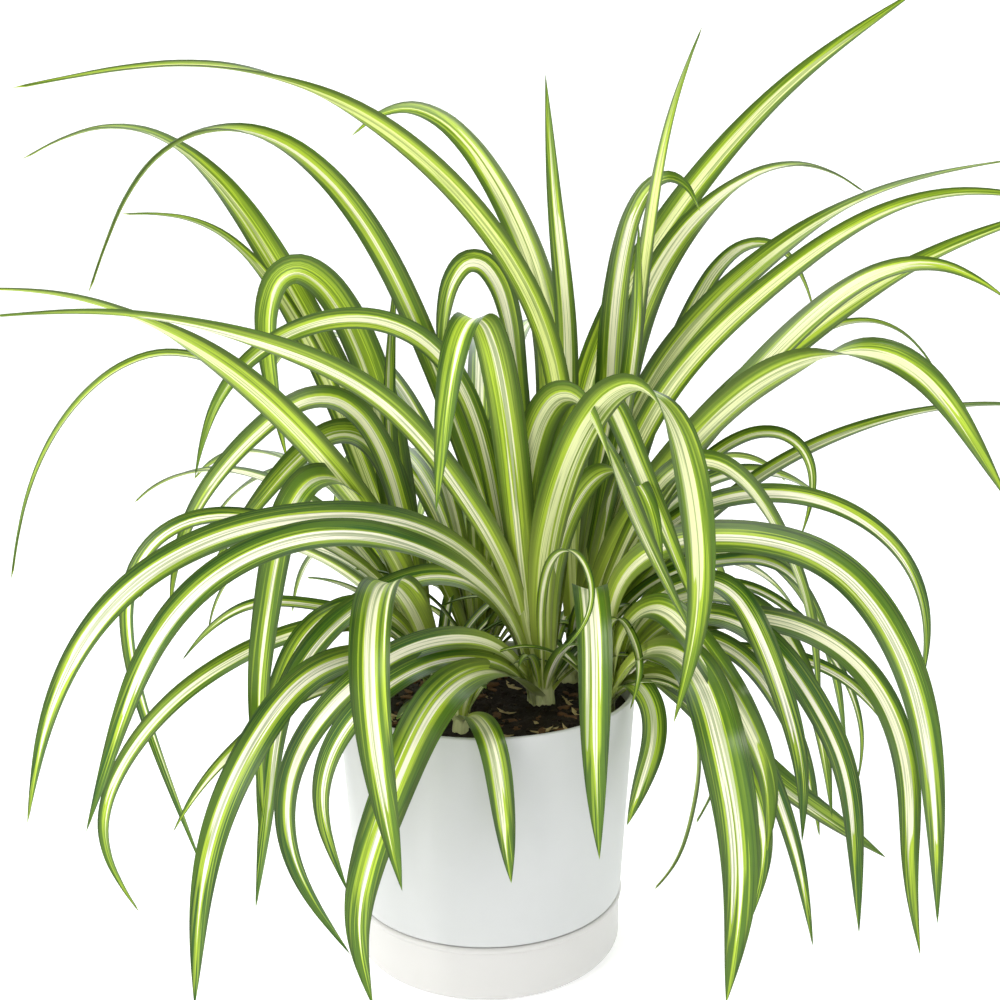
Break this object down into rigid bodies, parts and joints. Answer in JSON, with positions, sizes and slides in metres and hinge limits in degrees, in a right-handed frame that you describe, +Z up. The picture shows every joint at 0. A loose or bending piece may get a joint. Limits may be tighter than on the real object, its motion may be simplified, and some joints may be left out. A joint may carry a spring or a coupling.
{
  "type": "potted spider plant",
  "caption": "Spider plant with long arching striped blades in a plain white tapered pot that stands in its saucer.",
  "frame": {"origin": "middle of the saucer's underside, on the surface that the plant stands on", "axes": "+Z up through the pot's axis; -Y towards the side that the picture shows"},
  "size_m": [0.5495, 0.44, 0.4907],
  "materials": {
    "saucer_plastic": "moulded, satin gloss, warm white",
    "pot_plastic": "moulded, satin gloss, cool white",
    "potting_mix": "matte, crumbly, dark brown",
    "leaf": "waxy, cream stripe between green margins"
  },
  "bodies": {
    "root": {"saucer": "saucer_plastic", "pot": "pot_plastic", "potting_soil": "potting_mix", "rosette_centre": "leaf", "rosette_left": "leaf", "rosette_front": "leaf", "rosette_right_front": "leaf", "rosette_right_back": "leaf", "rosette_back": "leaf"}
  },
  "joints": []
}
